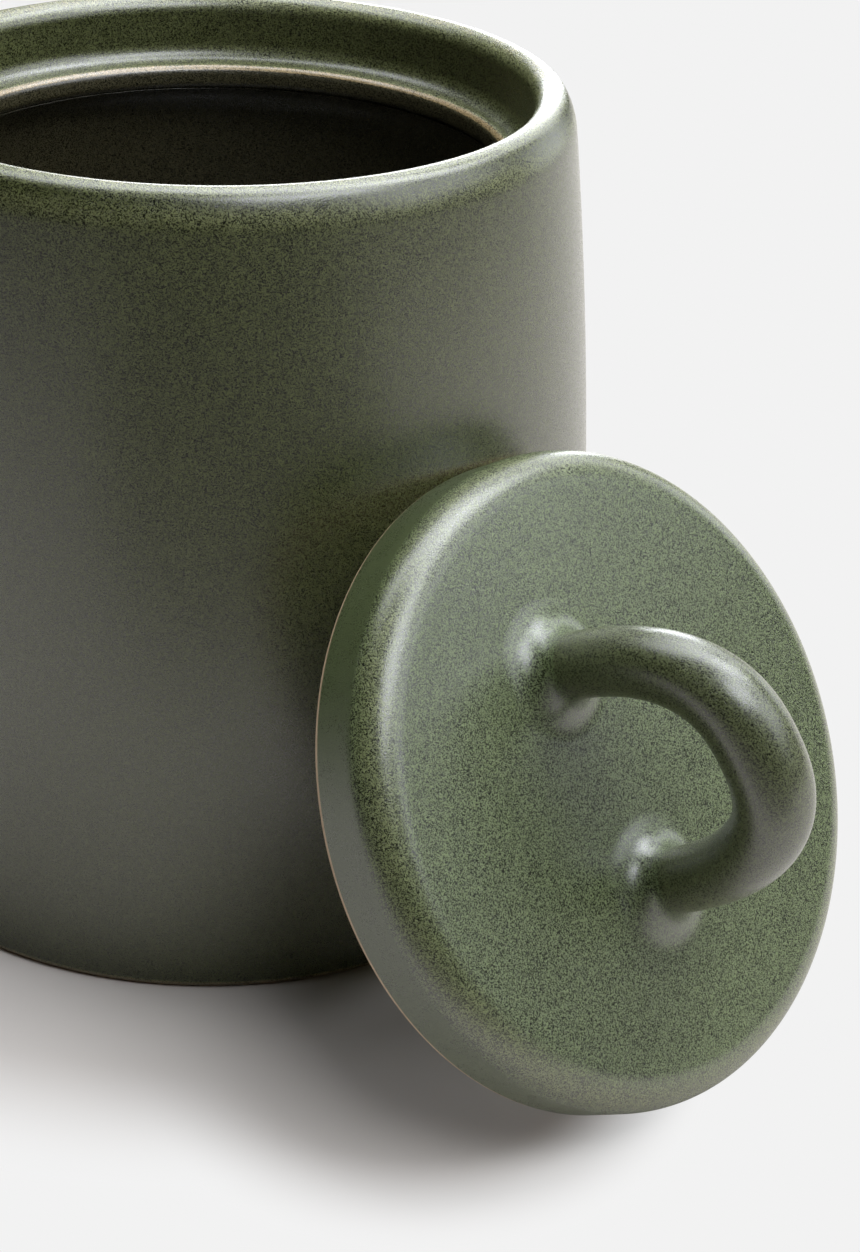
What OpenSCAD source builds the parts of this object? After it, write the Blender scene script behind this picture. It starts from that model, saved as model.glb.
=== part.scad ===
// Stoneware kitchen jar with a drop-in lid that carries a loop handle.
// The jar stands on its foot. Its lid is off, and leans against the jar with its lower edge on the table.
// The origin is the centre of the foot, X points from the jar to the lid, and Z is up.

/* [Jar] */
// Height of the jar, from the table to the top of its lip
jar_h = 156.5; // [130:0.5:190]
// Radius of the outside wall at its widest
belly_r = 76.2; // [70:0.1:90]
// Height at which the wall is widest
belly_z = 30; // [15:1:60]
// Radius of the long bow of the wall, seen from the side
bow_r = 1020; // [900:10:1500]
// Thickness of the wall
wall_t = 7; // [5:0.5:9]
// Thickness of the floor, above the recess in the foot
floor_t = 7; // [5:0.5:10]
// Radius of the fillet between the floor and the wall
floor_fillet_r = 14; // [6:1:24]

/* [Rim and gallery] */
// Thickness of the rim, where the wall turns into the lip
rim_t = 7.9; // [7.5:0.1:10]
// Radius of the lip, on its inside and top
lip_r = 3.5; // [2:0.1:3.6]
// Radius of the soft shoulder between the lip and the wall
shoulder_r = 14; // [9:1:22]
// Depth of the seat for the lid, below the top of the lip
seat_depth = 13.3; // [10:0.1:17]
// Width of the ledge that the lid sits on
ledge_w = 5.3; // [4.5:0.1:8]
// Thickness of the ledge
ledge_t = 5; // [4:0.5:8]
// Radius of the ledge's nose, above and below
ledge_nose_r = 1.8; // [0.8:0.1:2]
// Radius of the cove between the ledge and the mouth
cove_r = 3.2; // [1.5:0.1:3.4]
// Radius of the cove under the ledge
under_cove_r = 8; // [3:0.5:12]

/* [Foot] */
// Radius of the outside edge of the foot
foot_edge_r = 2; // [1:0.25:5]
// Width of the ring that the jar stands on
foot_w = 7; // [4:0.5:12]
// Depth of the recess inside the foot ring
foot_recess = 2.5; // [1:0.25:4]

/* [Lid] */
// Gap all round between the lid and the mouth
lid_gap = 1.2; // [0.8:0.1:3]
// Thickness of the lid at its rim
lid_h = 16.4; // [12:0.1:24]
// Thickness of the lid's top
lid_top_t = 7.5; // [5:0.5:9]
// Width of the lid's rim, under the top
lid_rim_w = 8; // [5:0.5:12]
// Radius of the rounding between the lid's face and its side
lid_round_r = 6.9; // [3:0.1:8]
// Radius of the lid's lower edge
lid_edge_r = 1.8; // [0.8:0.1:2.2]
// Radius of the fillet in the hollow underside
lid_hollow_r = 4; // [2:0.5:6]

/* [Handle] */
// Distance between the centres of the handle's two feet
handle_span = 43; // [34:0.5:56]
// Height of the handle's centre line above the lid
handle_h = 36; // [28:0.5:42]
// Radius of the handle's round section
handle_r = 6.7; // [5:0.1:8]
// Sweep of each side arc, in degrees, before the top arc takes over
handle_sweep = 25; // [15:1:40]
// Length of the straight foot, and radius of the clay fillet round it
handle_fillet_r = 5.5; // [3:0.25:7]
// Turn of the handle on the lid's face, in degrees
handle_turn = 6.6; // [-90:0.1:90]
// Distance of the handle's middle from the lid's centre, down the leaning face
handle_down = -1.4; // [-8:0.1:8]
// Distance of the handle's middle from the lid's centre, sideways
handle_aside = -6.3; // [-8:0.1:8]

/* [Leaning lid] */
// Angle of the lid's axis above the table, in degrees
lean_tilt = 31.25; // [20:0.25:50]
// Sideways offset of the lid's centre from the line of lean
lean_side = -11.6; // [-25:0.1:25]
// Gap between the lid and the jar's wall
lean_gap = 0.3; // [0.1:0.1:1]

/* [Hidden] */
$fn = 96;
glaze = [0.36, 0.39, 0.29];
lid_glaze = [0.42, 0.46, 0.36];
past = 5;
lip_over = 1;
seam_over = 0.01;
seam_w = 0.4;
corner_fn = 180;
bow_fn = 1440;
bow_centre = [belly_r - bow_r, belly_z];
lip_z = jar_h - lip_r;
seat_z = jar_h - seat_depth;
under_z = seat_z - ledge_t;
floor_z = foot_recess + floor_t;
mouth_r = wall_r(lip_z) - rim_t;
ledge_r = mouth_r - ledge_w;
foot_r = inset_x(foot_edge_r, foot_edge_r);
lid_r = mouth_r - lid_gap;
lid_hollow = lid_h - lid_top_t;
edge_ring_r = lid_r - lid_edge_r;
lid_z = edge_ring_r * cos(lean_tilt) - lid_edge_r * sin(lean_tilt) + lid_edge_r;
lid_x = max([for (a = [0:1:180]) lean_reach(a)]);
half_span = handle_span / 2;
arch_h = handle_h - handle_fillet_r;
side_arc_r = (arch_h - half_span * (1 - sin(handle_sweep)) / cos(handle_sweep))
    / (sin(handle_sweep) - (1 - sin(handle_sweep)) * (1 - cos(handle_sweep)) / cos(handle_sweep));
top_arc_r = (half_span - side_arc_r * (1 - cos(handle_sweep))) / cos(handle_sweep);

// Distance from the jar's axis to the bow moved inwards by inset, at height z
function inset_x(inset, z) = bow_centre.x + sqrt((bow_r - inset) ^ 2 - (z - belly_z) ^ 2);

// Outside radius of the wall at height z
function wall_r(z) = inset_x(0, z);

// Direction from one point to another, in degrees
function heading(from, to) = atan2(to.y - from.y, to.x - from.x);

// Point of the lower right crossing of two circles, given their centres and radii
function circle_crossing(c1, r1, c2, r2) =
    let (gap = norm(c2 - c1), along = (gap ^ 2 + r1 ^ 2 - r2 ^ 2) / (2 * gap),
         across = sqrt(max(0, r1 ^ 2 - along ^ 2)), way = (c2 - c1) / gap)
    c1 + along * way + across * [way.y, -way.x];

// Place of the lid's centre along X at which its lower edge, at angle a round the lid, meets the jar
function lean_reach(a) =
    let (edge_z = lid_z + edge_ring_r * sin(a) * cos(lean_tilt) + lid_edge_r * sin(lean_tilt),
         edge_y = lean_side + edge_ring_r * cos(a),
         reach = wall_r(min(edge_z, lip_z)) + lid_edge_r + lean_gap)
    edge_ring_r * sin(a) * sin(lean_tilt) - lid_edge_r * cos(lean_tilt) + sqrt(reach ^ 2 - edge_y ^ 2);

// What lies outside a round corner of radius r about centre c, between the angles from and to
module corner_waste(c, r, from, to) {
    reach = r + past;
    steps = 4;
    turn = (to - from) / steps;
    translate(c) difference() {
        polygon([[0, 0], for (i = [0:steps]) reach * [cos(from + i * turn), sin(from + i * turn)]]);
        circle(r, $fn = corner_fn);
    }
}

// Half section of the jar's outside, with its lip, shoulder and foot edge
module jar_outline() {
    lip = [mouth_r + lip_r, lip_z];
    shoulder = circle_crossing(bow_centre, bow_r - shoulder_r, lip, shoulder_r - lip_r);
    foot = [foot_r, foot_edge_r];
    difference() {
        intersection() {
            translate(bow_centre) circle(bow_r, $fn = bow_fn);
            square([belly_r + past, jar_h + lip_over]);
        }
        corner_waste(lip, lip_r, heading(shoulder, lip), 180);
        corner_waste(shoulder, shoulder_r, heading(bow_centre, shoulder), heading(shoulder, lip));
        corner_waste(foot, foot_edge_r, -90, heading(bow_centre, foot));
    }
}

// Half section of the space that holds the food, under the ledge
module chamber_outline() {
    low = [inset_x(wall_t + floor_fillet_r, floor_z + floor_fillet_r), floor_z + floor_fillet_r];
    high = [inset_x(wall_t + under_cove_r, under_z - under_cove_r), under_z - under_cove_r];
    difference() {
        intersection() {
            translate(bow_centre) circle(bow_r - wall_t, $fn = bow_fn);
            translate([0, floor_z]) square([belly_r, under_z - floor_z]);
        }
        corner_waste(low, floor_fillet_r, -90, heading(bow_centre, low));
        corner_waste(high, under_cove_r, heading(bow_centre, high), 90);
    }
}

// Half section of the mouth, down to the ledge, with the cove that the lid's edge sits in
module mouth_outline() {
    difference() {
        translate([0, seat_z]) square([mouth_r, seat_depth + past]);
        corner_waste([mouth_r - cove_r, seat_z + cove_r], cove_r, -90, 0);
    }
}

// Half section of the hole inside the ledge, with the ledge's two round edges
module neck_outline() {
    nose_x = ledge_r + ledge_nose_r;
    difference() {
        translate([0, under_z - past]) square([nose_x, ledge_t + 2 * past]);
        translate([ledge_r, under_z + ledge_nose_r])
            square([2 * ledge_nose_r, ledge_t - 2 * ledge_nose_r]);
        for (z = [under_z + ledge_nose_r, seat_z - ledge_nose_r])
            translate([nose_x, z]) circle(ledge_nose_r, $fn = corner_fn);
    }
}

// Half section of the recess inside the foot ring, with a sloping side
module recess_outline() {
    edge_r = foot_r - foot_w;
    polygon([[0, -past], [edge_r, -past], [edge_r, 0], [edge_r - foot_recess, foot_recess],
             [0, foot_recess]]);
}

module jar_body() {
    color(glaze) rotate_extrude() difference() {
        jar_outline();
        chamber_outline();
        neck_outline();
        mouth_outline();
        recess_outline();
    }
}

// Puts what is drawn on the lid, with Z along its axis, at the place where the lid leans
module lean() {
    translate([lid_x, lean_side, lid_z]) rotate([0, 90 - lean_tilt, 0]) children();
}

// Puts what is drawn with Z up and X along the handle's span on the lid's face
module on_face() {
    lean() translate([handle_down, handle_aside, lid_h]) rotate(handle_turn) children();
}

// Half section of the lid, with its hollow underside
module lid_outline() {
    inner_r = lid_r - lid_rim_w;
    difference() {
        square([lid_r, lid_h]);
        corner_waste([lid_r - lid_round_r, lid_h - lid_round_r], lid_round_r, 0, 90);
        corner_waste([lid_r - lid_edge_r, lid_edge_r], lid_edge_r, -90, 0);
        difference() {
            translate([0, -past]) square([inner_r, lid_hollow + past]);
            corner_waste([inner_r - lid_hollow_r, lid_hollow - lid_hollow_r], lid_hollow_r, 0, 90);
        }
    }
}

module lid_cap() {
    color(lid_glaze) lean() rotate_extrude() lid_outline();
}

// Ring a hair wider than the handle, over the seam of two arcs, that makes them one solid
module handle_seam() {
    translate([half_span - side_arc_r * (1 - cos(handle_sweep)),
               handle_fillet_r + side_arc_r * sin(handle_sweep)])
        rotate([90, 0, handle_sweep]) cylinder(h = seam_w, r = handle_r + seam_over, center = true);
}

// One side arc of the handle with its straight foot, on the X side
module handle_side() {
    handle_seam();
    rotate([-90, 0, 0]) translate([half_span, 0, 0]) cylinder(h = handle_fillet_r, r = handle_r);
    translate([half_span - side_arc_r, handle_fillet_r])
        rotate_extrude(angle = handle_sweep) translate([side_arc_r, 0]) circle(handle_r);
}

module loop_handle() {
    color(lid_glaze) on_face() rotate([90, 0, 0]) {
        handle_side();
        mirror([1, 0, 0]) handle_side();
        translate([0, handle_h - top_arc_r])
            rotate_extrude(start = handle_sweep, angle = 180 - 2 * handle_sweep)
                translate([top_arc_r, 0]) circle(handle_r);
    }
}

// Ring of clay that blends one foot of the handle into the lid, at x along the handle's span
module handle_fillet(x) {
    color(lid_glaze) on_face() translate([x, 0, 0]) rotate_extrude() difference() {
        translate([handle_r, 0]) square(handle_fillet_r);
        translate([handle_r + handle_fillet_r, handle_fillet_r]) circle(handle_fillet_r);
    }
}

module handle_fillet_upper() { handle_fillet(-half_span); }
module handle_fillet_lower() { handle_fillet(half_span); }

jar_body();
lid_cap();
loop_handle();
handle_fillet_upper();
handle_fillet_lower();
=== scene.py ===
"""Olive glazed canister with its lid leaning on it: lathed jar, lathed lid, looped handle and studio.

Run as a script. Everything is in metres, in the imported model's own frame.
"""
import math

import bmesh
import bpy
from mathutils import Matrix, Vector


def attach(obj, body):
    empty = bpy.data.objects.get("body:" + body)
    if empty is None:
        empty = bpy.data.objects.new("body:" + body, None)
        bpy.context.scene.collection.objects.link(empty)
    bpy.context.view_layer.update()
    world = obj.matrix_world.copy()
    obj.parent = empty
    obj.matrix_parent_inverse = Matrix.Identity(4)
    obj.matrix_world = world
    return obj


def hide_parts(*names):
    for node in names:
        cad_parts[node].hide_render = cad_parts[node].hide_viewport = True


bl_info = {
    "name": "Olive glazed canister",
    "version": (1, 0, 0),
    "blender": (4, 5, 0),
    "location": "View3D > Sidebar > Canister",
    "description": "Builds a glazed stoneware canister, its leaning lid and a plain studio",
    "category": "Object",
}

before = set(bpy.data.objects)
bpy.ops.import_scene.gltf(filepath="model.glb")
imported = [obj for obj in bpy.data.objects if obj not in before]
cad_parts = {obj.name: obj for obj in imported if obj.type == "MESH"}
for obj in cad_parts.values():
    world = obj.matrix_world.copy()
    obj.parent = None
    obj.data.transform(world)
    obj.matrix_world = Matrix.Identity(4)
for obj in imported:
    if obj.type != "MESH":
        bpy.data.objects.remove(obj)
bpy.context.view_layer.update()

MM = 0.001
WEAR = "wear"
CLAY = "clay"
# Marks the jar's inside under the ledge, which takes a darker, browner colour as painted shade.
SHADED_INSIDE = "lining"
CALM = "calm"
SHINE = 1.0
GRAIN_SCALE = 6200.0
PHOTO_LONG_SIDE = 1252
PHOTO_FOCAL = 2500
SENSOR = 36.0
VIEW_TURN = 0.716976


def length(name, description, millimetres):
    """A size that a user may change, shown in Blender's own length unit."""
    return bpy.props.FloatProperty(
        name=name,
        description=description,
        default=millimetres * MM,
        subtype="DISTANCE",
        unit="LENGTH",
        precision=5,
    )


def tint(name, description, colour):
    """A linear colour that a user may change."""
    return bpy.props.FloatVectorProperty(
        name=name, description=description, default=colour, size=3, subtype="COLOR", min=0.0, max=1.0
    )


class JarSizes(bpy.types.PropertyGroup):
    height: length("Height", "Foot to the top of the lip", 156.5)
    belly: length("Belly radius", "Outside radius at the widest place", 76.2)
    belly_height: length("Belly height", "Height of the widest place", 30.0)
    bow: length("Bow radius", "Radius of the wall's upright curve", 1020.0)
    wall: length("Wall", "Thickness of the wall under the ledge", 7.0)
    floor: length("Floor", "Thickness of the floor", 7.0)
    floor_fillet: length("Floor fillet", "Round between the floor and the wall inside", 14.0)
    rim: length("Rim", "Thickness of the rim above the ledge", 7.9)
    lip: length("Lip", "Radius of the lip's round top", 3.5)
    shoulder: length("Shoulder", "Radius of the outside round below the lip", 14.0)
    seat_depth: length("Seat depth", "Lip to the ledge that carries the lid", 13.3)
    ledge: length("Ledge width", "How far the ledge reaches in", 5.3)
    ledge_thick: length("Ledge thickness", "Height of the ledge's edge", 5.0)
    nose: length("Ledge edge", "Radius of the ledge's two round edges", 1.8)
    cove: length("Gallery cove", "Radius of the hollow corner above the ledge", 3.2)
    under_cove: length("Under cove", "Radius of the hollow corner under the ledge", 8.0)
    foot_edge: length("Foot edge", "Radius of the round outside the foot", 2.0)
    foot: length("Foot width", "Width of the ring that the jar stands on", 7.0)
    recess: length("Foot recess", "Depth of the hollow inside the foot ring", 2.5)


class LidSizes(bpy.types.PropertyGroup):
    gap: length("Gap", "Play between the lid's edge and the mouth", 1.2)
    height: length("Height", "Whole height of the lid's disc", 16.4)
    top: length("Top", "Thickness of the top over the hollow", 7.5)
    rim: length("Rim width", "Width of the ring round the hollow", 8.0)
    round_edge: length("Top round", "Radius of the round edge of the face", 6.9)
    low_edge: length("Lower round", "Radius of the round lower edge", 1.8)
    hollow_fillet: length("Hollow fillet", "Round between the top and the ring inside", 4.0)
    lean: bpy.props.FloatProperty(
        name="Lean",
        description="Tilt of the lid's axis above the floor",
        default=math.radians(31.25),
        subtype="ANGLE",
        unit="ROTATION",
    )
    place: bpy.props.FloatVectorProperty(
        name="Place",
        description="Centre of the lid's underside where it leans",
        default=(0.103986, -0.0116, 0.050329),
        size=3,
        subtype="XYZ",
        unit="LENGTH",
    )


class HandleSizes(bpy.types.PropertyGroup):
    half_span: length("Half span", "Loop's middle to the middle of a foot", 21.5)
    rise: length("Rise", "Face to the middle of the loop's top", 35.55)
    thick: length("Thickness", "Radius of the roll of clay at its feet", 5.93)
    swell: bpy.props.FloatProperty(
        name="Swell", description="How much thicker the top is than the feet", default=0.20, min=0.0, max=1.0
    )
    square: bpy.props.FloatProperty(
        name="Squareness", description="2 is an ellipse, more is squarer", default=2.46, min=1.5, max=4.0
    )
    fillet: length("Fillet", "Height of the clay smoothed round each foot", 5.5)
    spread: length("Fillet spread", "How far that clay reaches over the face", 6.8)
    down: length("Down", "How far the loop stands down the face from the lid's centre", -1.4)
    aside: length("Aside", "How far the loop stands to the side of the lid's centre", -6.3)
    turn: bpy.props.FloatProperty(
        name="Turn",
        description="Turn of the handle about the lid's axis",
        default=math.radians(6.6),
        subtype="ANGLE",
        unit="ROTATION",
    )


class GlazeColours(bpy.types.PropertyGroup):
    jar: tint("Jar", "The glaze over most of the jar", (0.045, 0.052, 0.015))
    lid: tint("Lid", "The glaze over most of the lid and its handle", (0.070, 0.090, 0.037))
    handle: tint("Handle", "The glaze over the handle", (0.064, 0.075, 0.030))
    thin: tint("Thin glaze", "Where the glaze is drawn thin over a round edge", (0.125, 0.135, 0.058))
    tan: tint("Worn edge", "Where clay shows through the glaze", (0.260, 0.190, 0.090))
    # Painted shade: darker, browner colour for the jar's inside under the ledge.
    lining: tint("Shaded inside", "The glaze inside, under the ledge", (0.036, 0.032, 0.015))
    clay: tint("Bare clay", "Unglazed stoneware", (0.600, 0.430, 0.270))


class StudioSettings(bpy.types.PropertyGroup):
    backdrop: tint("Backdrop", "Colour of the background", (0.888, 0.888, 0.888))
    floor: tint("Floor", "Colour of the table", (0.662, 0.618, 0.578))
    eye: bpy.props.FloatVectorProperty(
        name="Camera place", default=(0.339442, -0.321817, 0.29036), size=3, subtype="XYZ", unit="LENGTH",
        description="Where the camera stands",
    )
    heading: bpy.props.FloatProperty(
        name="Camera heading", default=0.716976, subtype="ANGLE", unit="ROTATION",
        description="Turn of the view about the upright axis",
    )
    pitch: bpy.props.FloatProperty(
        name="Camera pitch", default=-0.492816, subtype="ANGLE", unit="ROTATION",
        description="Tilt of the view below the horizon",
    )
    roll: bpy.props.FloatProperty(
        name="Camera roll", default=-0.034233, subtype="ANGLE", unit="ROTATION",
        description="Turn of the view about its own line",
    )


class Value:
    """A socket of a node tree that takes part in plain arithmetic, each step adding one Math node."""

    def __init__(self, tree, socket):
        self.tree = tree
        self.socket = socket

    def step(self, operation, *others):
        node = self.tree.nodes.new("ShaderNodeMath")
        node.operation = operation
        for place, item in zip(node.inputs, others):
            feed(self.tree, place, item)
        return Value(self.tree, node.outputs[0])

    def __add__(self, other):
        return self.step("ADD", self, other)

    def __radd__(self, other):
        return self.step("ADD", other, self)

    def __sub__(self, other):
        return self.step("SUBTRACT", self, other)

    def __rsub__(self, other):
        return self.step("SUBTRACT", other, self)

    def __mul__(self, other):
        return self.step("MULTIPLY", self, other)

    def __rmul__(self, other):
        return self.step("MULTIPLY", other, self)

    def __truediv__(self, other):
        return self.step("DIVIDE", self, other)

    def __rtruediv__(self, other):
        return self.step("DIVIDE", other, self)

    def __pow__(self, other):
        return self.step("POWER", self, other)

    def clamped(self):
        held = self.step("ADD", self, 0.0)
        held.socket.node.use_clamp = True
        return held


def feed(tree, place, item):
    """Links or sets one input socket."""
    if isinstance(item, Value):
        tree.links.new(item.socket, place)
    elif isinstance(item, bpy.types.NodeSocket):
        tree.links.new(item, place)
    else:
        place.default_value = item


def add(tree, kind, settings=None, **sockets):
    """A node of one type, with its settings first and then the values or links of its sockets."""
    node = tree.nodes.new(kind)
    for name, setting in (settings or {}).items():
        if name == "stops":
            ramp = node.color_ramp
            while len(ramp.elements) < len(setting):
                ramp.elements.new(1.0)
            for element, (place, colour) in zip(ramp.elements, setting):
                element.position = place
                element.color = (*colour, 1.0)
        else:
            setattr(node, name, setting)
    for name, item in sockets.items():
        place = node.inputs[int(name[1:])] if name[0] == "i" and name[1:].isdigit() else None
        if place is None:
            wanted = name.replace("_", " ").lower()
            place = next(s for s in node.inputs if s.name.lower() == wanted and s.enabled)
        feed(tree, place, item)
    return node


def mix_colour(tree, factor, first, second):
    """Blend of two colours by a factor."""
    node = tree.nodes.new("ShaderNodeMix")
    node.data_type = "RGBA"
    feed(tree, node.inputs[0], factor)
    for place, colour in ((node.inputs[6], first), (node.inputs[7], second)):
        feed(tree, place, (*colour, 1.0) if isinstance(colour, (tuple, list)) else colour)
    return node.outputs[2]


def noise(tree, where, scale, detail=2.0, rough=0.5):
    node = add(tree, "ShaderNodeTexNoise", Vector=where, Scale=scale, Detail=detail, Roughness=rough)
    return Value(tree, node.outputs[0])


def between(value, low, high):
    """Smooth step of a value from 0 at low to 1 at high."""
    node = add(
        value.tree,
        "ShaderNodeMapRange",
        {"interpolation_type": "SMOOTHSTEP"},
        Value=value,
        From_Min=low,
        From_Max=high,
    )
    return Value(value.tree, node.outputs[0])


def dimmed(tree, colour, factor):
    """A colour times a factor that may vary."""
    return add(tree, "ShaderNodeVectorMath", {"operation": "SCALE"}, i0=colour, Scale=factor).outputs[0]


def attribute(tree, name):
    return Value(tree, add(tree, "ShaderNodeAttribute", {"attribute_name": name}).outputs["Fac"])


def glaze_material(name, body, grit, colours):
    """Satin stoneware glaze of one body colour: fine grains, soft clouds, thin edges, bare clay, and a darker,
    browner inside that is painted shade.
    """
    material = bpy.data.materials.new(name)
    material.use_nodes = True
    tree = material.node_tree
    tree.nodes.clear()
    where = add(tree, "ShaderNodeTexCoord").outputs["Object"]

    cells = add(tree, "ShaderNodeTexVoronoi", Vector=where, Scale=GRAIN_SCALE)
    grain = Value(tree, add(tree, "ShaderNodeSeparateColor", i0=cells.outputs["Color"]).outputs[0])
    fleck = noise(tree, where, 4600.0, 0.0)
    mottle = noise(tree, where, 230.0, 3.0, 0.55)
    cloud = noise(tree, where, 22.0, 3.0, 0.5)
    wear = attribute(tree, WEAR)
    clay = attribute(tree, CLAY)
    lining = attribute(tree, SHADED_INSIDE)

    worn = wear * (0.60 + mottle * 0.6 + grain * 0.2)
    colour = mix_colour(tree, between(worn, 0.05, 0.75), body, tuple(colours.thin))
    colour = mix_colour(tree, between(worn, 0.65, 1.10), colour, tuple(colours.tan))
    # Painted shade: the inside under the ledge is darkened and browned.
    colour = mix_colour(tree, lining, colour, tuple(colours.lining))
    grit = grit * (1.0 - attribute(tree, CALM)) * (1.0 - wear * 0.5)
    tone = 1.0 + ((grain - 0.5) * 3.1 + (fleck - 0.5) * 1.0) * grit
    tone = tone + (mottle - 0.5) * 0.35 + (cloud - 0.5) * 0.40
    colour = dimmed(tree, colour, tone.step("MAXIMUM", tone, 0.05))
    bare = between(clay + (mottle - 0.5) * 0.3, 0.45, 0.65)
    colour = mix_colour(tree, bare, colour, tuple(colours.clay))

    rough = (0.29 + (grain - 0.5) * 0.20 * grit + (mottle - 0.5) * 0.06 + bare * 0.35).clamped()
    bump = add(tree, "ShaderNodeBump", Strength=0.85, Distance=0.00003, Height=fleck + grain * 0.5)

    skin = add(
        tree,
        "ShaderNodeBsdfPrincipled",
        Base_Color=colour,
        Roughness=rough,
        Normal=bump.outputs[0],
        Specular_IOR_Level=SHINE,
        IOR=1.56,
    )
    end = tree.nodes.new("ShaderNodeOutputMaterial")
    tree.links.new(skin.outputs[0], end.inputs[0])
    return material


def glaze(name, colours):
    """The glaze of the jar, the lid or the handle, made once."""
    body, grit = {
        "satin_jar": (colours.jar, 1.15),
        "satin_lid": (colours.lid, 1.00),
        "satin_handle": (colours.handle, 0.80),
    }[name]
    return bpy.data.materials.get(name) or glaze_material(name, tuple(body), grit, colours)


def arc(centre, radius, start, stop, steps, wear=0.0, clay=0.0):
    """Points of an arc from start to stop degrees, as (r, z, wear, clay), most worn at its middle."""
    points = []
    for i in range(steps + 1):
        share = i / steps
        angle = math.radians(start + (stop - start) * share)
        worn = wear * math.sin(math.pi * share) ** 0.8
        points.append(
            (centre[0] + radius * math.cos(angle), centre[1] + radius * math.sin(angle), worn, clay)
        )
    return points


def straight_arc(centre, radius, start, stop, steps, wear):
    """An arc with the same wear all along it."""
    return [(x, z, wear, clay) for x, z, _, clay in arc(centre, radius, start, stop, steps)]


def straight(start, stop, steps, clay=0.0, wear=0.0):
    """Points of a straight line between two places of a half section."""
    return [
        (
            start[0] + (stop[0] - start[0]) * i / steps,
            start[1] + (stop[1] - start[1]) * i / steps,
            wear,
            clay,
        )
        for i in range(steps + 1)
    ]


def heading(start, stop):
    return math.degrees(math.atan2(stop[1] - start[1], stop[0] - start[0]))


def crossing(c1, r1, c2, r2):
    """Lower right crossing of two circles."""
    gap = math.dist(c1, c2)
    along = (gap**2 + r1**2 - r2**2) / (2 * gap)
    across = math.sqrt(max(0.0, r1**2 - along**2))
    way = ((c2[0] - c1[0]) / gap, (c2[1] - c1[1]) / gap)
    return (c1[0] + along * way[0] + across * way[1], c1[1] + along * way[1] - across * way[0])


class Bow:
    """The jar's upright curve, and the same curve moved inwards."""

    def __init__(self, jar):
        self.radius = jar.bow
        self.centre = (jar.belly - jar.bow, jar.belly_height)

    def at(self, inset, height):
        return self.centre[0] + math.sqrt((self.radius - inset) ** 2 - (height - self.centre[1]) ** 2)


def jar_section(jar):
    """Half section of the jar from its underside's centre, round the outside and back to the axis."""
    bow = Bow(jar)
    lip = (0.0, jar.height - jar.lip)
    mouth = bow.at(0.0, lip[1]) - jar.rim
    lip = (mouth + jar.lip, lip[1])
    shoulder = crossing(bow.centre, bow.radius - jar.shoulder, lip, jar.shoulder - jar.lip)
    foot = (bow.at(jar.foot_edge, jar.foot_edge), jar.foot_edge)
    seat = jar.height - jar.seat_depth
    under = seat - jar.ledge_thick
    floor = jar.recess + jar.floor
    ledge = mouth - jar.ledge
    ring = foot[0] - jar.foot
    bevel = 0.8 * MM

    points = straight((0.0, jar.recess), (ring - jar.recess - bevel, jar.recess), 12)
    points += straight((ring - jar.recess, jar.recess), (ring - bevel, bevel * 0.6), 4, 0.4)
    points += straight((ring, 0.0), (foot[0], 0.0), 6, 1.0)
    points += arc(foot, jar.foot_edge, -86, -40, 4, 0.0, 1.0)
    points += arc(foot, jar.foot_edge, -40, heading(bow.centre, foot), 8, 1.0)
    points += arc(
        bow.centre, bow.radius, heading(bow.centre, foot), heading(bow.centre, shoulder), 90
    )[1:]
    points += arc(shoulder, jar.shoulder, heading(bow.centre, shoulder), heading(shoulder, lip), 18, 0.38)[1:]
    points += arc(lip, jar.lip, heading(shoulder, lip), 180, 26, 0.72)[1:]
    points += straight((mouth, lip[1]), (mouth, seat + jar.cove), 8, wear=0.15)[1:]
    points += straight_arc((mouth - jar.cove, seat + jar.cove), jar.cove, 0, -90, 12, 0.30)[1:]
    points += straight((mouth - jar.cove, seat), (ledge + jar.nose, seat), 3, wear=0.40)[1:]
    points += arc((ledge + jar.nose, seat - jar.nose), jar.nose, 90, 180, 10, 1.15)[1:]
    # Points from here on, round the ledge's edge and down the inside, take the inside's painted shade.
    glazed = len(points) - 4
    points += arc((ledge + jar.nose, under + jar.nose), jar.nose, 180, 270, 10)
    high_z = under - jar.under_cove
    high = (bow.at(jar.wall + jar.under_cove, high_z), high_z)
    points += straight((ledge + jar.nose, under), (high[0], under), 6)[1:]
    points += arc(high, jar.under_cove, 90, heading(bow.centre, high), 12)[1:]
    low_z = floor + jar.floor_fillet
    low = (bow.at(jar.wall + jar.floor_fillet, low_z), low_z)
    points += arc(
        bow.centre, bow.radius - jar.wall, heading(bow.centre, high), heading(bow.centre, low), 50
    )[1:]
    points += arc(low, jar.floor_fillet, heading(bow.centre, low), -90, 16)[1:]
    points += straight((low[0], floor), (0.0, floor), 14)[1:]
    # Each point also gets the inside's painted shade (from the ledge's edge down) and calm, which quiets the grain
    # towards the foot.
    return [
        (*point, float(i >= glazed), 0.60 - 0.60 * min(1.0, point[1] / jar.height) ** 1.5)
        for i, point in enumerate(points)
    ]


def mouth_radius(jar):
    return Bow(jar).at(0.0, jar.height - jar.lip) - jar.rim


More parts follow.
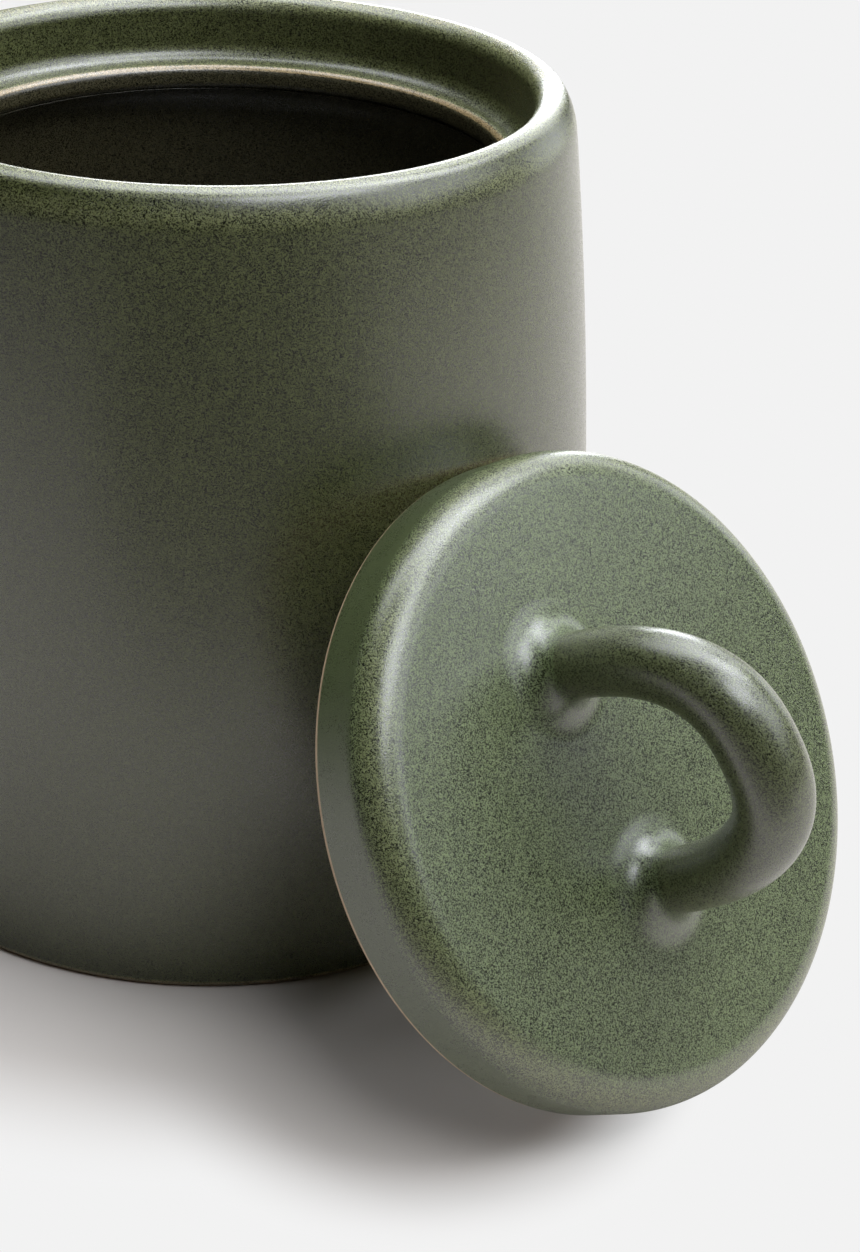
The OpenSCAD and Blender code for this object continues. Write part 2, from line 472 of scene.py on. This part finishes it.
def lid_section(jar, lid):
    """Half section of the lid from its hollow's centre, round its edge and back over its face."""
    edge = mouth_radius(jar) - lid.gap
    inner = edge - lid.rim
    hollow = lid.height - lid.top
    bevel = 0.8 * MM
    points = straight((0.0, hollow), (inner - lid.hollow_fillet, hollow), 12)
    points += arc((inner - lid.hollow_fillet, hollow - lid.hollow_fillet), lid.hollow_fillet, 90, 0, 10)[1:]
    points += straight((inner, hollow - lid.hollow_fillet), (inner, bevel), 4)[1:]
    points += arc((inner + bevel, bevel), bevel, 180, 270, 4, 0.0, 0.3)[1:]
    points += straight((inner + bevel, 0.0), (edge - lid.low_edge, 0.0), 6, 1.0)[1:]
    points += arc((edge - lid.low_edge, lid.low_edge), lid.low_edge, -90, -6, 8, 0.0, 1.0)[1:]
    points += arc((edge - lid.low_edge, lid.low_edge), lid.low_edge, -6, 0, 3, 1.0)[1:]
    points += straight((edge, lid.low_edge), (edge, lid.height - lid.round_edge), 10)[1:]
    points += arc((edge - lid.round_edge, lid.height - lid.round_edge), lid.round_edge, 0, 90, 20, 0.40)[1:]
    points += straight((edge - lid.round_edge, lid.height), (0.0, lid.height), 24)[1:]
    side = lid.height - lid.round_edge
    return [(*point, 0.0, 0.8 * float(point[0] > inner and point[1] < side + MM)) for point in points]


def new_tree(name, inputs):
    """An empty geometry tree with named inputs, its group nodes and the inputs' identifiers."""
    tree = bpy.data.node_groups.new(name, "GeometryNodeTree")
    tree.interface.new_socket("Geometry", in_out="INPUT", socket_type="NodeSocketGeometry")
    names = {}
    for label, kind in inputs:
        names[label] = tree.interface.new_socket(label, in_out="INPUT", socket_type=kind).identifier
    tree.interface.new_socket("Geometry", in_out="OUTPUT", socket_type="NodeSocketGeometry")
    return tree, tree.nodes.new("NodeGroupInput"), tree.nodes.new("NodeGroupOutput"), names


def finish_tree(tree, shape, start, end, merge=0.000001):
    """Closes the seams, shades smooth, makes instances real and sets the material."""
    merged = add(tree, "GeometryNodeMergeByDistance", Geometry=shape, Distance=merge)
    smooth = add(tree, "GeometryNodeSetShadeSmooth", Geometry=merged.outputs[0])
    real = add(tree, "GeometryNodeRealizeInstances", Geometry=smooth.outputs[0])
    painted = add(
        tree, "GeometryNodeSetMaterial", Geometry=real.outputs[0], Material=start.outputs["Glaze"]
    )
    tree.links.new(painted.outputs[0], end.inputs[0])


def lathe_tree():
    """Turns a half section, drawn as a line in X and Y, round the upright axis."""
    tree, start, end, names = new_tree(
        "lathe", [("Wheel radius", "NodeSocketFloat"), ("Steps", "NodeSocketInt"), ("Glaze", "NodeSocketMaterial")]
    )
    wheel_radius = Value(tree, start.outputs["Wheel radius"])
    section = add(tree, "GeometryNodeMeshToCurve", Mesh=start.outputs[0])
    here = add(tree, "GeometryNodeInputPosition")
    split = add(tree, "ShaderNodeSeparateXYZ", Vector=here.outputs[0])
    across = Value(tree, split.outputs[0]) - wheel_radius
    moved = add(tree, "ShaderNodeCombineXYZ", X=across, Y=Value(tree, split.outputs[1]) * -1.0)
    placed = add(tree, "GeometryNodeSetPosition", Geometry=section.outputs[0], Position=moved.outputs[0])
    wheel = add(tree, "GeometryNodeCurvePrimitiveCircle", Resolution=start.outputs["Steps"], Radius=wheel_radius)
    turned = add(tree, "GeometryNodeCurveToMesh", Curve=wheel.outputs[0], Profile_Curve=placed.outputs[0])
    finish_tree(tree, turned.outputs[0], start, end)
    return tree, names


def sweep_tree():
    """A roll of clay along an upright loop, thicker at its top, from the loop's rule alone."""
    tree, start, end, names = new_tree(
        "clay_roll",
        [
            ("Half span", "NodeSocketFloat"),
            ("Rise", "NodeSocketFloat"),
            ("Squareness", "NodeSocketFloat"),
            ("Thickness", "NodeSocketFloat"),
            ("Swell", "NodeSocketFloat"),
            ("Steps", "NodeSocketInt"),
            ("Sides", "NodeSocketInt"),
            ("Glaze", "NodeSocketMaterial"),
        ],
    )
    sockets = {name: Value(tree, start.outputs[name]) for name in names if name != "Glaze"}
    line = add(tree, "GeometryNodeMeshLine", Count=start.outputs["Steps"])
    index = Value(tree, add(tree, "GeometryNodeInputIndex").outputs[0])
    turn = index / (sockets["Steps"] - 1.0) * math.pi
    sine = turn.step("MAXIMUM", turn.step("SINE", turn), 0.0)
    cosine = turn.step("COSINE", turn)
    power = 2.0 / sockets["Squareness"]
    side = cosine.step("SIGN", cosine) * cosine.step("ABSOLUTE", cosine) ** power
    across = sockets["Half span"] * side
    up = sockets["Rise"] * sine**power
    point = add(tree, "ShaderNodeCombineXYZ", X=across, Z=up)
    placed = add(tree, "GeometryNodeSetPosition", Geometry=line.outputs[0], Position=point.outputs[0])
    curve = add(tree, "GeometryNodeMeshToCurve", Mesh=placed.outputs[0])
    even = add(tree, "GeometryNodeResampleCurve", Curve=curve.outputs[0], Count=start.outputs["Steps"])
    here = add(tree, "ShaderNodeSeparateXYZ", Vector=add(tree, "GeometryNodeInputPosition").outputs[0])
    share = (Value(tree, here.outputs[2]) / sockets["Rise"]).clamped()
    thick = sockets["Thickness"] * (1.0 + sockets["Swell"] * share ** sockets["Squareness"])
    sized = add(tree, "GeometryNodeSetCurveRadius", Curve=even.outputs[0], Radius=thick)
    ring = add(tree, "GeometryNodeCurvePrimitiveCircle", Resolution=start.outputs["Sides"], Radius=1.0)
    rolled = add(
        tree,
        "GeometryNodeCurveToMesh",
        Curve=sized.outputs[0],
        Profile_Curve=ring.outputs[0],
        Fill_Caps=True,
    )
    scale = [s for s in rolled.inputs if s.name == "Scale"]
    if scale:
        feed(tree, scale[0], thick)
    finish_tree(tree, rolled.outputs[0], start, end)
    return tree, names


def grown(name, tree, names, values, start=None):
    """Evaluates a geometry tree on an object and keeps the result as one plain mesh."""
    source = bpy.data.objects.new(name + "_rule", start or bpy.data.meshes.new(name + "_rule"))
    bpy.context.scene.collection.objects.link(source)
    rule = source.modifiers.new("rule", "NODES")
    rule.node_group = tree
    for label, value in values.items():
        rule[names[label]] = value
    source.update_tag()
    bpy.context.view_layer.update()
    solid = source.evaluated_get(bpy.context.evaluated_depsgraph_get())
    mesh = bpy.data.meshes.new_from_object(solid)
    bpy.data.objects.remove(source)
    mesh.name = name
    return mesh


def section_line(name, points):
    """A half section as a line of edges that carries its wear, bare clay, the inside's painted shade and calm."""
    mesh = bpy.data.meshes.new(name)
    kept = [points[0]]
    for point in points[1:]:
        if math.dist(point[:2], kept[-1][:2]) > 0.02 * MM:
            kept.append(point)
    mesh.from_pydata([(p[0], p[1], 0.0) for p in kept], [(i, i + 1) for i in range(len(kept) - 1)], [])
    for place, label in enumerate((WEAR, CLAY, SHADED_INSIDE, CALM), 2):
        layer = mesh.attributes.new(label, "FLOAT", "POINT")
        layer.data.foreach_set("value", [p[place] for p in kept])
    return mesh


def settle(name, mesh, matrix, body, slot, *nodes):
    """Puts a mesh at its place with its faces outwards and says what it rides on and stands for."""
    mesh.transform(matrix)
    shape = bmesh.new()
    shape.from_mesh(mesh)
    bmesh.ops.remove_doubles(shape, verts=shape.verts, dist=0.0000005)
    bmesh.ops.recalc_face_normals(shape, faces=shape.faces)
    if shape.calc_volume(signed=True) < 0:
        bmesh.ops.reverse_faces(shape, faces=shape.faces)
    open_edges = sum(1 for edge in shape.edges if len(edge.link_faces) != 2)
    if open_edges:
        raise ValueError(f"{name} has {open_edges} open edges")
    shape.to_mesh(mesh)
    shape.free()
    piece = bpy.data.objects.new(name, mesh)
    bpy.context.scene.collection.objects.link(piece)
    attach(piece, body)
    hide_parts(*nodes)
    return piece


def lid_place(lid):
    """Turns the lid's own upright frame to where it leans."""
    sine, cosine = math.sin(lid.lean), math.cos(lid.lean)
    turn = Matrix(((sine, 0.0, cosine), (0.0, 1.0, 0.0), (-cosine, 0.0, sine))).to_4x4()
    return Matrix.Translation(lid.place) @ turn


def face_place(lid, handle):
    """Turns the handle's upright frame onto the lid's face."""
    stand = Matrix.Translation((handle.down, handle.aside, lid.height))
    return lid_place(lid) @ stand @ Matrix.Rotation(handle.turn, 4, "Z")


def lathed(name, section, steps, coat):
    tree, names = lathe_tree()
    wheel = max(point[0] for point in section)
    values = {"Wheel radius": wheel, "Steps": steps, "Glaze": coat}
    return grown(name, tree, names, values, section_line(name + "_section", section))


class CANISTER_OT_jar(bpy.types.Operator):
    """Lathe the jar with its lip, gallery ledge and foot ring"""

    bl_idname = "canister.jar"
    bl_label = "Jar"

    def execute(self, context):
        scene = context.scene
        coat = glaze("satin_jar", scene.canister_glaze)
        mesh = lathed("jar_shell", jar_section(scene.canister_jar), 320, coat)
        settle("jar_shell", mesh, Matrix.Identity(4), "jar", "jar_glaze", "jar_body")
        return {"FINISHED"}


class CANISTER_OT_lid(bpy.types.Operator):
    """Lathe the lid and lean it against the jar"""

    bl_idname = "canister.lid"
    bl_label = "Lid"

    def execute(self, context):
        scene = context.scene
        coat = glaze("satin_lid", scene.canister_glaze)
        mesh = lathed("lid_disc", lid_section(scene.canister_jar, scene.canister_lid), 320, coat)
        settle("lid_disc", mesh, lid_place(scene.canister_lid), "lid", "lid_glaze", "lid_cap")
        return {"FINISHED"}


def loop_point(handle, height):
    """Centre and radius of the clay roll at a height above the lid's face."""
    share = height / handle.rise
    across = handle.half_span * (1 - share**handle.square) ** (1 / handle.square)
    return across, handle.thick * (1 + handle.swell * share**handle.square)


def fillet_mesh(name, handle, side, coat, rings=14, turns=96):
    """Ring of clay smoothed from one foot of the loop onto the lid's face."""
    sunk = 0.4 * MM
    inset = 0.9 * MM
    outer = []
    for i in range(rings + 1):
        angle = math.pi / 2 * i / rings
        height = handle.fillet * (1 - math.cos(angle))
        spread = handle.spread * (1 - math.sin(angle))
        across, thick = loop_point(handle, height)
        outer.append((across, thick + spread, height))
    outer.append((outer[-1][0], outer[-1][1] - inset, outer[-1][2] + 0.05 * MM))
    outer.append((outer[0][0], handle.thick - inset, -sunk))
    outer.append((outer[0][0], outer[0][1], -sunk))
    mesh = bpy.data.meshes.new(name)
    verts = []
    for across, radius, height in outer:
        for k in range(turns):
            angle = math.tau * k / turns
            verts.append((side * across + radius * math.cos(angle), radius * math.sin(angle), height))
    faces = []
    count = len(outer)
    for i in range(count):
        for k in range(turns):
            j, m = (i + 1) % count, (k + 1) % turns
            faces.append((i * turns + k, i * turns + m, j * turns + m, j * turns + k))
    mesh.from_pydata(verts, [], faces)
    mesh.materials.append(coat)
    mesh.polygons.foreach_set("use_smooth", [True] * len(mesh.polygons))
    sharp = mesh.attributes.new("sharp_edge", "BOOLEAN", "EDGE")
    corners = {0, rings, rings + 1, rings + 2, rings + 3}
    sharp.data.foreach_set(
        "value",
        [
            edge.vertices[0] // turns == edge.vertices[1] // turns and edge.vertices[0] // turns in corners
            for edge in mesh.edges
        ],
    )
    return mesh


class CANISTER_OT_handle(bpy.types.Operator):
    """Roll the loop handle and smooth its two feet onto the lid"""

    bl_idname = "canister.handle"
    bl_label = "Handle"

    def execute(self, context):
        scene = context.scene
        handle, lid = scene.canister_handle, scene.canister_lid
        coat = glaze("satin_handle", scene.canister_glaze)
        place = face_place(lid, handle)
        tree, names = sweep_tree()
        values = {
            "Half span": handle.half_span,
            "Rise": handle.rise,
            "Squareness": handle.square,
            "Thickness": handle.thick,
            "Swell": handle.swell,
            "Steps": 160,
            "Sides": 96,
            "Glaze": coat,
        }
        settle("handle_loop", grown("handle_loop", tree, names, values), place,
               "lid", "handle_glaze", "loop_handle")
        for name, side in (("upper", -1), ("lower", 1)):
            mesh = fillet_mesh("fillet_" + name, handle, side, glaze("satin_lid", scene.canister_glaze))
            settle("fillet_" + name, mesh, place, "lid", "fillet_glaze", "handle_fillet_" + name)
        return {"FINISHED"}


# Softboxes: degrees from the view's right towards its back, degrees above the table, metres from
# the middle of the piece, width and height in metres, watts and colour
COOL = (0.95, 0.98, 1.03)
LAMPS = {
    "key": (-50.0, 57.0, 0.9, 0.62, 0.42, 5.0, COOL),
    "top": (60.0, 77.0, 0.9, 0.55, 0.46, 4.2, COOL),
    "right_high": (26.0, 57.0, 0.9, 0.42, 0.42, 3.7, COOL),
    "back_high": (92.0, 52.0, 0.9, 0.52, 0.42, 2.4, COOL),
    "right": (-12.0, 30.0, 0.9, 0.70, 0.40, 2.0, COOL),
    "right_low": (42.0, 9.0, 0.9, 0.42, 0.36, 1.0, COOL),
    "back": (64.0, 30.0, 0.9, 0.50, 0.42, 1.7, COOL),
    "back_low": (88.0, 10.0, 0.9, 0.42, 0.36, 4.0, COOL),
    "back_left": (148.0, 62.0, 0.9, 0.42, 0.40, 2.0, COOL),
}
MIDDLE = Vector((0.04, 0.0, 0.08))


def softbox(name, azimuth, elevation, away, width, height, power, colour):
    """A soft rectangular lamp that faces the middle of the piece."""
    lamp = bpy.data.lights.new(name, "AREA")
    lamp.shape = "RECTANGLE"
    lamp.size, lamp.size_y = width, height
    lamp.energy = power
    lamp.color = colour
    turn = math.radians(azimuth) + VIEW_TURN
    tilt = math.radians(elevation)
    way = Vector((math.cos(turn) * math.cos(tilt), math.sin(turn) * math.cos(tilt), math.sin(tilt)))
    holder = bpy.data.objects.new(name, lamp)
    holder.location = MIDDLE + way * away
    holder.rotation_euler = (-way).to_track_quat("-Z", "Y").to_euler()
    bpy.context.scene.collection.objects.link(holder)
    return holder


def ring(tree, where, centre, near, far):
    """Smooth step from 0 inside a near distance of a place to 1 outside a far one."""
    away = add(tree, "ShaderNodeVectorMath", {"operation": "DISTANCE"}, i0=where, i1=centre)
    return between(Value(tree, away.outputs["Value"]), near, far)


def plain_floor(settings):
    """A wide pale table whose colour carries painted shade: far in front and round the jar's foot for reflections
    and bounced light, and behind the jar for the camera.
    """
    reach = 1.4
    mesh = bpy.data.meshes.new("table")
    mesh.from_pydata(
        [(-reach, -reach, 0), (reach, -reach, 0), (reach, reach, 0), (-reach, reach, 0)], [], [(0, 1, 2, 3)]
    )
    table = bpy.data.objects.new("table", mesh)
    bpy.context.scene.collection.objects.link(table)
    material = bpy.data.materials.new("table_paper")
    material.use_nodes = True
    tree = material.node_tree
    tree.nodes.clear()
    where = add(tree, "ShaderNodeTexCoord").outputs["Object"]
    fade = ring(tree, where, (0.0, 0.0, 0.0), 0.098, 0.132)
    fade = fade * ring(tree, where, (0.094, -0.040, 0.0), 0.030, 0.054)
    seen = Value(tree, add(tree, "ShaderNodeLightPath").outputs["Is Camera Ray"])
    # Painted shade far in front of the piece, seen only in reflections and bounced light.
    painted_shade_ahead = (1.0 - ring(tree, where, (0.480, -0.380, 0.0), 0.34, 0.43)) * 0.70
    # Painted contact shadow round the jar's foot, seen only in reflections and bounced light.
    under = (1.0 - ring(tree, where, (0.0, 0.0, 0.0), 0.078, 0.100)) * 0.50
    # Painted shade behind the jar, seen only by the camera, that tones the lamps' bright floor down to the
    # backdrop.
    painted_shade_behind = (1.0 - ring(tree, where, (-0.030, 0.150, 0.0), 0.15, 0.24)) * 0.34
    # All the table's painted shade: in front and round the foot for other rays, behind the jar for the camera.
    dim = (painted_shade_ahead + under) * (1.0 - seen) + painted_shade_behind * seen
    paper = add(tree, "ShaderNodeBsdfDiffuse", Color=dimmed(tree, tuple(settings.floor), 1.0 - dim))
    glow = add(tree, "ShaderNodeEmission", Color=(*settings.backdrop, 1.0), Strength=1.0)
    both = add(tree, "ShaderNodeMixShader", i0=seen * fade, i1=paper.outputs[0], i2=glow.outputs[0])
    end = tree.nodes.new("ShaderNodeOutputMaterial")
    tree.links.new(both.outputs[0], end.inputs[0])
    mesh.materials.append(material)


def studio_world(settings):
    """Plain backdrop for the camera, and a dim soft room for everything else."""
    world = bpy.data.worlds.new("studio")
    bpy.context.scene.world = world
    world.use_nodes = True
    tree = world.node_tree
    tree.nodes.clear()
    seen = Value(tree, add(tree, "ShaderNodeLightPath").outputs["Is Camera Ray"])
    room = add(tree, "ShaderNodeBackground", Color=(0.95, 0.97, 1.0, 1.0), Strength=0.004)
    back = add(tree, "ShaderNodeBackground", Color=(*settings.backdrop, 1.0), Strength=1.0)
    both = add(tree, "ShaderNodeMixShader", i0=seen, i1=room.outputs[0], i2=back.outputs[0])
    end = tree.nodes.new("ShaderNodeOutputWorld")
    tree.links.new(both.outputs[0], end.inputs[0])


def camera(settings):
    """The photograph's own viewing place, with a lens that spans the frame's long side."""
    data = bpy.data.cameras.new("view")
    data.sensor_width = SENSOR
    data.lens = PHOTO_FOCAL * SENSOR / PHOTO_LONG_SIDE
    data.clip_start = 0.01
    turn = (
        Matrix.Rotation(settings.heading, 3, "Z")
        @ Matrix.Rotation(settings.pitch, 3, "X")
        @ Matrix.Rotation(settings.roll, 3, "Y")
    )
    right, forward, up = turn.col[0], turn.col[1], turn.col[2]
    holder = bpy.data.objects.new("view", data)
    facing = Matrix((right, up, -forward)).transposed()
    holder.matrix_world = Matrix.Translation(settings.eye) @ facing.to_4x4()
    bpy.context.scene.collection.objects.link(holder)
    bpy.context.scene.camera = holder


class CANISTER_OT_studio(bpy.types.Operator):
    """Set the table, the lamps, the backdrop and the camera"""

    bl_idname = "canister.studio"
    bl_label = "Studio"

    def execute(self, context):
        settings = context.scene.canister_studio
        plain_floor(settings)
        studio_world(settings)
        camera(settings)
        for name, (azimuth, elevation, away, width, height, power, colour) in LAMPS.items():
            softbox(name, azimuth, elevation, away, width, height, power, colour)
        context.scene.view_settings.view_transform = "Standard"
        return {"FINISHED"}


class CANISTER_PT_parts(bpy.types.Panel):
    """Lists the canister's pieces and its studio"""

    bl_idname = "CANISTER_PT_parts"
    bl_label = "Canister"
    bl_space_type = "VIEW_3D"
    bl_region_type = "UI"
    bl_category = "Canister"

    def draw(self, context):
        for operator in OPERATORS:
            self.layout.operator(operator.bl_idname)


OPERATORS = (CANISTER_OT_jar, CANISTER_OT_lid, CANISTER_OT_handle, CANISTER_OT_studio)
GROUPS = {
    "canister_jar": JarSizes,
    "canister_lid": LidSizes,
    "canister_handle": HandleSizes,
    "canister_glaze": GlazeColours,
    "canister_studio": StudioSettings,
}


def register():
    for name, group in GROUPS.items():
        bpy.utils.register_class(group)
        setattr(bpy.types.Scene, name, bpy.props.PointerProperty(type=group))
    for item in (*OPERATORS, CANISTER_PT_parts):
        bpy.utils.register_class(item)


def unregister():
    for item in (CANISTER_PT_parts, *OPERATORS):
        bpy.utils.unregister_class(item)
    for name, group in GROUPS.items():
        delattr(bpy.types.Scene, name)
        bpy.utils.unregister_class(group)


def main():
    register()
    bpy.ops.canister.jar()
    bpy.ops.canister.lid()
    bpy.ops.canister.handle()
    bpy.ops.canister.studio()


if __name__ == "__main__":
    main()
